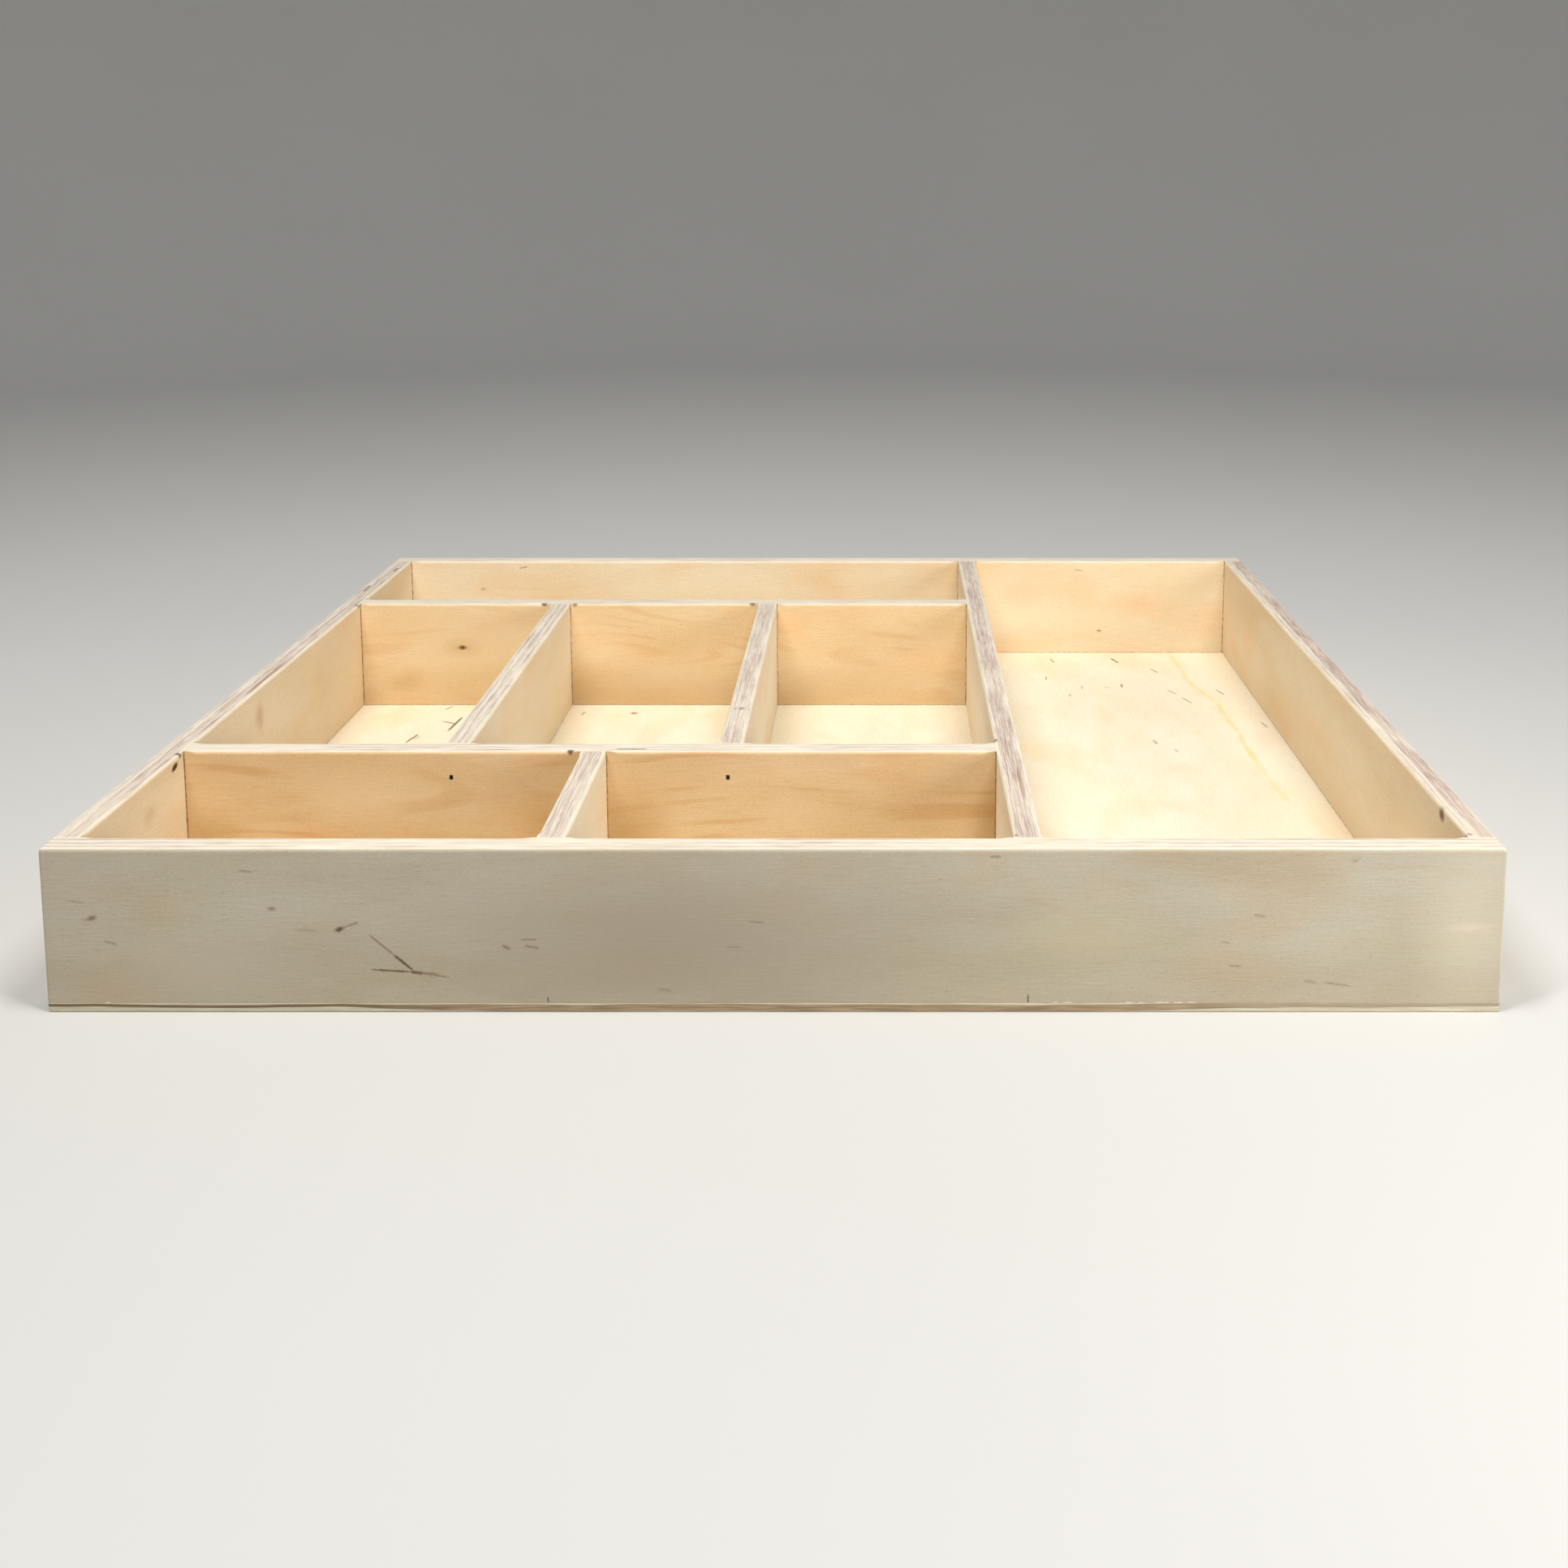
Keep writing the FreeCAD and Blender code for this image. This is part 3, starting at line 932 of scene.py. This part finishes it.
def front_board_marks():
    knots = [
        spot((-209.6, FRONT_Y, 30.6), (2.4, 1.5, 1.2), KNOT_SMALL, 0.7, (1, 0, 0.3)),
        spot((-211.6, FRONT_Y, 30.2), (2.2, 1.0, 0.8), KNOT_HALO, 0.4),
        spot((-154.1, FRONT_Y, 33.7), (2.0, 1.3, 1.1), KNOT_SMALL, 0.55),
        spot((-82.4, FRONT_Y, 21.2), (2.2, 1.3, 0.9), KNOT_SMALL, 0.6, (1, 0, -0.5)),
        spot((-133.6, FRONT_Y, 27.0), (2.2, 1.3, 1.2), KNOT_CORE, 0.85, (1, 0, 0.4)),
    ]
    dark_vee = [
        front_streak(-132.6, 27.4, -127.6, 29.4, 0.7, 0.5, srgb(110, 98, 104)),
        front_streak(-124.8, 25.5, -117.0, 18.7, 0.6, 0.55),
        front_streak(-117.4, 19.0, -111.2, 13.6, 0.8, 0.85, VEE_BROWN),
        front_streak(-124.8, 14.0, -111.2, 13.2, 0.6, 0.8, VEE_BROWN),
        front_streak(-111.8, 13.2, -108.6, 12.8, 1.0, 0.8, VEE_BROWN),
        front_streak(-109.0, 13.1, -103.2, 12.5, 0.6, 0.6, RUST),
        front_streak(-109.0, 12.7, -99.8, 11.4, 0.6, 0.45),
    ]
    flecks = [
        front_streak(-217.6, 36.4, -211.6, 35.6, 0.5, 0.34),
        front_streak(-206.2, 23.2, -202.4, 22.2, 0.8, 0.34),
        front_streak(-163.6, 46.0, -159.6, 45.4, 0.8, 0.34),
        front_streak(-147.4, 26.8, -140.4, 26.6, 0.9, 0.21),
        front_streak(-77.9, 23.8, -72.8, 23.7, 0.6, 0.42),
        front_streak(-76.9, 21.7, -72.1, 20.9, 0.7, 0.42),
        front_streak(-7.8, 29.6, -2.6, 29.2, 0.7, 0.28),
        front_streak(-14.6, 21.4, -9.8, 21.2, 0.7, 0.21),
        front_streak(-35.6, 7.5, -31.8, 7.1, 0.9, 0.26),
        front_streak(66.8, 50.4, 69.8, 50.4, 0.9, 0.42),
        front_streak(147.8, 31.8, 151.4, 31.2, 0.7, 0.32),
        front_streak(137.8, 22.9, 140.8, 22.7, 0.7, 0.24),
        front_streak(140.4, 15.4, 144.4, 15.0, 0.7, 0.32),
        front_streak(164.0, 10.3, 167.6, 9.7, 0.9, 0.28),
        front_streak(169.4, 9.9, 179.0, 8.5, 0.5, 0.36),
    ]
    ticks = [
        front_streak(-69.7, 2.6, -69.9, 5.1, 0.5, 0.8, PENCIL_GREY),
        front_streak(78.7, 3.0, 78.6, 6.0, 0.5, 0.8, PENCIL_GREY),
    ]
    torn = [front_streak(x, 3.1, x + length, 3.1, 0.6, 0.8, TORN_WHITE) for x, length in TORN_DASHES]
    # The first five paint light and shade on the front face: darker through its middle and low down, lighter
    # towards its ends, brightest at its right end. The last two are marks.
    light_shade_and_smudges = [
        smudge((-30.0, FRONT_Y, 24.0), (130.0, 8.0, 42.0), srgb(168, 156, 138), 0.76),
        smudge((-42.0, FRONT_Y, 15.0), (26.0, 4.0, 11.0), srgb(172, 156, 134), 0.4),
        smudge((-178.0, FRONT_Y, 14.0), (46.0, 4.0, 18.0), SHADED_GREY_PALE, 0.6),
        smudge((95.0, FRONT_Y, 25.0), (34.0, 4.0, 14.0), srgb(204, 190, 156), 0.4),
        smudge((214.0, FRONT_Y, 28.0), (24.0, 4.0, 36.0), srgb(220, 211, 191), 0.5),
        smudge((178.7, FRONT_Y, 49.6), (3.0, 1.5, 1.2), STREAK_BROWN, 0.3),
        smudge((214.0, FRONT_Y, 27.4), (12.0, 3.0, 2.2), srgb(226, 208, 190), 0.5),
    ]
    return light_shade_and_smudges + knots + dark_vee + flecks + ticks + torn


# The middle of the yellow stain on the right compartment's floor, from back to front, and of its faint end
STAIN_POINTS = (
    (187.0, 192.0),
    (188.6, 160.0),
    (188.4, 140.0),
    (190.4, 126.8),
    (196.4, 104.9),
    (195.8, 84.0),
    (197.8, 59.0),
    (196.6, 42.0),
    (197.4, 20.0),
)
STAIN_TAIL = ((196.6, 44.0), (197.8, -2.0), (200.0, -30.0))


def floor_marks():
    left = [
        floor_streak(-181.0, 44.5, -178.2, 57.0, 1.0, 0.85),
        floor_streak(-178.8, 50.0, -176.6, 54.0, 0.8, 0.5),
        floor_streak(-172.0, 75.4, -164.7, 71.4, 1.1, 0.75),
        floor_streak(-166.0, 60.5, -164.0, 82.5, 1.1, 0.9),
        floor_streak(-175.0, 92.5, -172.6, 98.4, 0.9, 0.7),
    ]
    middle = [
        floor_streak(-108.3, 85.0, -107.8, 90.0, 0.8, 0.6),
        smudge((-84.1, 87.3, FLOOR_Z), (2.6, 2.6, 1.5), srgb(140, 84, 66), 0.9),
    ]
    right = [
        floor_streak(154.9, 180.5, 157.9, 171.5, 1.1, 0.9),
        floor_streak(122.8, 180.0, 124.2, 172.0, 0.9, 0.65),
        floor_streak(117.1, 141.0, 117.6, 147.0, 0.8, 0.55),
        floor_streak(126.0, 114.0, 126.6, 118.0, 0.9, 0.45),
        floor_streak(144.8, 129.0, 147.8, 128.6, 0.9, 0.4),
        floor_streak(133.6, 126.0, 134.0, 132.0, 0.8, 0.4),
        floor_streak(153.7, 128.5, 154.2, 134.5, 1.0, 0.7),
        floor_streak(172.8, 161.0, 175.8, 154.0, 1.0, 0.6),
        floor_streak(175.5, 124.5, 179.0, 117.5, 0.8, 0.6),
        floor_streak(180.5, 113.0, 184.0, 102.5, 0.8, 0.55),
        floor_streak(199.8, 125.0, 202.4, 116.5, 0.9, 0.6),
        floor_streak(211.2, 74.0, 212.4, 66.0, 0.9, 0.5),
        floor_streak(156.8, 48.5, 157.6, 43.0, 1.3, 0.55, srgb(150, 116, 66)),
        floor_streak(165.2, 33.2, 164.2, 35.6, 1.0, 0.45),
    ]
    stain = [
        floor_stain(STAIN_POINTS, 2.4, STAIN_YELLOW, 0.5),
        floor_stain(STAIN_TAIL, 3.0, STAIN_YELLOW, 0.3),
    ]
    return stain + left + middle + right


# The marks on each board that has any, some of them painted light and shade
MARKS = {
    "front_board": front_board_marks(),
    "back_board": [
        streak((148.8, BACK_INNER_Y, 15.4), (151.0, BACK_INNER_Y, 15.0), 0.9, strength=0.6),
        streak((136.4, BACK_INNER_Y, 48.3), (140.6, BACK_INNER_Y, 48.0), 0.8, strength=0.35),
        streak((-158.8, BACK_INNER_Y, 49.2), (-154.2, BACK_INNER_Y, 50.0), 0.8, strength=0.45),
        smudge((-178.0, BACK_INNER_Y, 38.2), (2.4, 1.8, 1.4), STREAK_BROWN, 0.45),
        smudge((172.0, BACK_INNER_Y, 30.0), (24.0, 4.0, 12.0), srgb(240, 196, 150), 0.45),
        smudge((110.0, BACK_INNER_Y, 36.0), (18.0, 4.0, 12.0), srgb(243, 202, 160), 0.4),
    ],
    "left_side_board": [
        smudge((LEFT_INNER_X, -36.0, 41.0), (3.0, 7.0, 9.0), srgb(200, 146, 106), 0.55),
        smudge((LEFT_INNER_X, -60.0, 33.0), (2.0, 26.0, 12.0), srgb(206, 172, 126), 0.3),
        smudge((LEFT_INNER_X, -141.0, 41.0), (2.0, 8.0, 6.0), srgb(206, 164, 120), 0.4),
        spot((LEFT_INNER_X, -118.8, 49.9), (3.6, 1.6, 1.6), BURN_BROWN, 0.95, (0, 1, 0.2), 0.6),
        spot((-216.9, -113.8, 52.3), (1.8, 1.6, 1.4), BURN_BROWN, 0.95, (0, 1, 0), 0.6),
        spot((-216.9, 97.6, 52.3), (3.0, 1.4, 1.2), BURN_BROWN, 0.85, (0, 1, 0), 0.6),
        streak((-218.2, -46.0, TOP_Z), (-218.2, 2.5, TOP_Z), 1.4, RUST, 0.6),
        streak((-218.8, 167.0, TOP_Z), (-218.8, 175.6, TOP_Z), 1.1, BURN_BROWN, 0.75),
        streak((-221.9, 124.0, TOP_Z), (-221.9, 138.0, TOP_Z), 1.1, BURN_BROWN, 0.65),
    ],
    "right_side_board": [
        smudge((RIGHT_INNER_X, -150.0, 28.0), (3.0, 44.0, 26.0), srgb(252, 226, 186), 0.6),
        spot((RIGHT_INNER_X, -165.4, 50.4), (3.2, 3.8, 3.8), srgb(104, 78, 52), 0.9, (0, 0, 1)),
        spot((217.0, -188.6, TOP_Z - 0.3), (1.6, 1.6, 1.6), BURN_BROWN, 0.5),
    ],
    "long_divider": [
        spot((74.9, -99.0, TOP_Z - 0.5), (3.4, 1.3, 1.4), BURN_BROWN, 0.8, (0, 1, 0)),
        spot((75.3, -189.4, TOP_Z - 0.3), (1.6, 1.0, 1.2), BURN_BROWN, 0.6, (0, 1, 0)),
        streak((80.4, -160.0, TOP_Z), (80.7, -124.0, TOP_Z), 1.3, srgb(158, 116, 92), 0.6),
    ],
    "front_cross_divider": [
        burn(-77.7, -110.4, 1.8, 1.2),
        streak((-62.5, -108.5, TOP_Z), (-50.1, -108.6, TOP_Z), 0.8, BURN_BROWN, 0.8),
        # Painted shade darkens the front face at both ends and either side of where the short divider meets
        # it; painted light brightens it high up in the left compartment
        smudge((74.5, FRONT_CROSS_Y, 22.0), (12.0, 3.0, 30.0), srgb(176, 136, 74), 0.5),
        smudge((-206.0, FRONT_CROSS_Y, 22.0), (20.0, 3.0, 12.0), srgb(190, 152, 84), 0.55),
        smudge((-56.0, FRONT_CROSS_Y, 22.0), (22.0, 3.0, 26.0), srgb(188, 146, 82), 0.5),
        smudge((-86.0, FRONT_CROSS_Y, 26.0), (16.0, 3.0, 18.0), srgb(196, 160, 92), 0.4),
        smudge((-150.0, FRONT_CROSS_Y, 38.0), (46.0, 3.0, 16.0), srgb(246, 218, 176), 0.4),
    ],
    "rear_cross_divider": [
        # Painted shade darkens the face along its foot
        smudge((-70.0, REAR_CROSS_Y, 3.0), (220.0, 4.0, 30.0), srgb(190, 156, 112), 0.48),
        smudge((-170.0, REAR_CROSS_Y, 34.0), (50.0, 4.0, 24.0), srgb(246, 228, 192), 0.45),
        smudge((-167.6, REAR_CROSS_Y, 31.5), (22.0, 2.5, 13.0), srgb(236, 200, 150), 0.3),
        smudge((-196.0, REAR_CROSS_Y, 14.0), (16.0, 2.5, 7.0), srgb(198, 156, 96), 0.4),
        spot((-167.6, REAR_CROSS_Y, 31.5), (11.0, 1.5, 5.4), KNOT_HALO, 0.08, soft=0.25),
        spot((-167.6, REAR_CROSS_Y, 31.5), (9.0, 1.5, 4.2), srgb(236, 202, 152), 0.45, soft=0.5),
        spot((-167.6, REAR_CROSS_Y, 31.5), (6.0, 1.5, 2.0), KNOT_HALO, 0.45, soft=1.0),
        spot((-167.6, REAR_CROSS_Y, 31.6), (2.6, 1.5, 1.5), KNOT_CORE, 0.9),
        burn(-127.7, 100.7),
        burn(-113.1, 100.5, 1.8, 1.0, 0.6),
        burn(-28.0, 100.7),
    ],
    "middle_right_divider": [
        smudge((-20.3, -61.5, TOP_Z), (1.9, 3.0, 1.4), srgb(128, 92, 82), 0.85),
        smudge((-22.9, -61.5, TOP_Z), (0.8, 2.2, 1.2), BURN_BROWN, 0.7),
        smudge((-17.9, -63.5, TOP_Z), (0.8, 2.2, 1.2), BURN_BROWN, 0.7),
    ],
    "bottom_panel": floor_marks(),
}


# ---------------------------- the room

FLOOR_RADIUS = 1.6
WALL_RADIUS = 2.4
WALL_HEIGHT = 2.2
BEND_STEPS = 12
TURNS = 96

# Each softbox: where it is, how wide and long it is, and its power in watts
SOFTBOXES = {
    "softbox_left": ((-0.31, -0.42, 1.2), (0.12, 0.7), 9.5),
    "softbox_right": ((0.32, -0.42, 1.2), (0.12, 0.7), 8.1),
    "softbox_front": ((0.5, -0.5, 0.2), (0.25, 0.2), 1.35),
}
WARM_WHITE = (1.0, 0.98, 0.95)
SKY = (0.88, 0.91, 0.95, 1)
SKY_STRENGTH = 0.34

CAMERA_ASIDE = 0.0327  # how far right of the tray's middle it stands
CAMERA_BEFORE = 0.5038  # how far in front of the tray it stands
CAMERA_HEIGHT = 0.2584
CAMERA_TILT = 0.1299  # how far it looks down, in radians
CAMERA_LENS = 39.495
CAMERA_SHIFT = (-0.0609, -0.2474)


def backdrop_paper():
    shader = Shader("backdrop_paper")
    mottle = shader.node("TexNoise", {"Vector": shader.millimetres(), "Scale": 0.003, "Detail": 3.0})
    tone = shader.mix(mottle, srgb(208, 207, 204), srgb(202, 201, 198))
    return shader.finish(tone, 0.85, mottle, 0.1 * MM)


def round_backdrop():
    """A pale floor that sweeps up into a wall all round."""
    profile = [(FLOOR_RADIUS, 0.0)]
    bend = WALL_RADIUS - FLOOR_RADIUS
    for i in range(1, BEND_STEPS + 1):
        angle = math.pi / 2 * i / BEND_STEPS
        profile.append((FLOOR_RADIUS + bend * math.sin(angle), bend * (1 - math.cos(angle))))
    profile.append((WALL_RADIUS, WALL_HEIGHT))
    bm = bmesh.new()
    loops = []
    for radius, z in profile:
        turns = [2 * math.pi * i / TURNS for i in range(TURNS)]
        loops.append([bm.verts.new((radius * math.cos(a), radius * math.sin(a), z)) for a in turns])
    for ring, next_ring in zip(loops, loops[1:]):
        for i in range(TURNS):
            j = (i + 1) % TURNS
            bm.faces.new((ring[i], ring[j], next_ring[j], next_ring[i]))
    bm.faces.new(loops[0])
    backdrop = new_object("backdrop", bm)
    backdrop.data.materials.append(backdrop_paper())


def softbox(name, place, size, power):
    """A warm white softbox aimed at the tray."""
    light = bpy.data.lights.new(name, "AREA")
    light.shape = "RECTANGLE"
    light.size, light.size_y = size
    light.energy = power
    light.color = WARM_WHITE
    lamp = bpy.data.objects.new(name, light)
    lamp.location = place
    lamp.rotation_euler = (-Vector(place)).to_track_quat("-Z", "Y").to_euler()
    lamp.visible_camera = False
    bpy.context.scene.collection.objects.link(lamp)


def light_room():
    for name, (place, size, power) in SOFTBOXES.items():
        softbox(name, place, size, power)
    world = bpy.data.worlds.new("room")
    bpy.context.scene.world = world
    world.use_nodes = True
    background = world.node_tree.nodes["Background"]
    background.inputs["Color"].default_value = SKY
    background.inputs["Strength"].default_value = SKY_STRENGTH


def add_camera():
    """In front of the tray and a little above it, slightly right of its middle."""
    data = bpy.data.cameras.new("camera")
    data.sensor_width = 36.0
    data.lens = CAMERA_LENS
    data.shift_x, data.shift_y = CAMERA_SHIFT
    data.clip_start = 0.01
    data.clip_end = 20.0
    camera = bpy.data.objects.new("camera", data)
    camera.location = (CAMERA_ASIDE, cad_bounds[0].y - CAMERA_BEFORE, CAMERA_HEIGHT)
    camera.rotation_euler = (math.pi / 2 - CAMERA_TILT, 0, 0)
    bpy.context.scene.collection.objects.link(camera)
    bpy.context.scene.camera = camera


# ---------------------------- putting it together


def dress(piece, node, material):
    """Gives a piece its material and its place in the frame."""
    piece.data.materials.clear()
    piece.data.materials.append(material)
    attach(piece, "root")
    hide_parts(node)


def build_tray():
    for board in BOARDS:
        boxes = pockets(board.name)
        piece = board_piece(board)
        cut_pockets(piece, boxes)
        marks = MARKS.get(board.name, []) + nail_marks(boxes)
        dress(piece, board.name, plywood(board, LOOKS[board.name], marks))
    boxes = pockets("bottom_panel")
    panel = panel_piece()
    cut_pockets(panel, boxes)
    marks = MARKS["bottom_panel"] + nail_marks(boxes)
    dress(panel, "bottom_panel", panel_plywood(LOOKS["bottom_panel"], marks))
    steel = brad_steel()
    for node in BRAD_GROUPS:
        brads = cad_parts[node]
        brads.data.materials.clear()
        brads.data.materials.append(steel)


add_camera()
light_room()
round_backdrop()
build_tray()
bpy.context.scene.view_settings.view_transform = "Standard"
